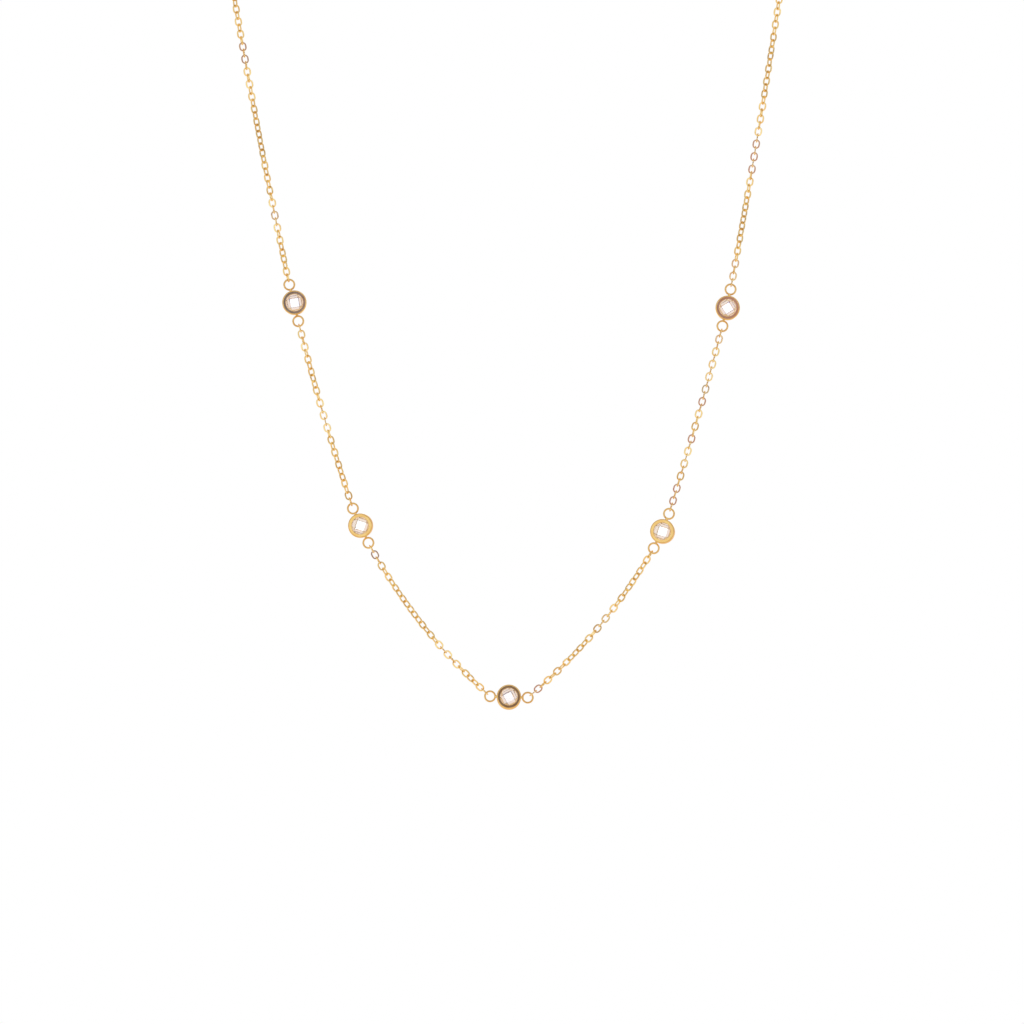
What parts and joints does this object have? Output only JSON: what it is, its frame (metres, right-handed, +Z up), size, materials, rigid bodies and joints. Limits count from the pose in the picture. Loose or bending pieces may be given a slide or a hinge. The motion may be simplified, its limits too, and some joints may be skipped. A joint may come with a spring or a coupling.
{
  "type": "cubic zirconia necklace",
  "caption": "Fine cable chain necklace, one closed loop with round open-back bezel settings that hold clear stones with square tables.",
  "frame": {"origin": "centre of the clasp at the nape, where the loop hangs on the neck", "axes": "+Z up, +X to the right as seen from the front, -Y to the front, where the stones are"},
  "size_m": [0.1029, 0.0479, 0.1588],
  "materials": {
    "setting_gold": "polished, gold-coloured",
    "chain_gold": "polished, gold-coloured",
    "stone": "clear, faceted and polished"
  },
  "bodies": {
    "root": {"setting_1": "setting_gold", "setting_2": "setting_gold", "setting_3": "setting_gold", "setting_4": "setting_gold", "setting_5": "setting_gold", "stone_1": "stone", "stone_2": "stone", "stone_3": "stone", "stone_4": "stone", "stone_5": "stone", "chain_left_side": "chain_gold", "chain_left_upper": "chain_gold", "chain_left_lower": "chain_gold", "chain_right_lower": "chain_gold", "chain_right_upper": "chain_gold", "chain_right_side": "chain_gold", "chain_left_back": "chain_gold", "chain_right_back": "chain_gold", "clasp": "setting_gold"}
  },
  "joints": []
}
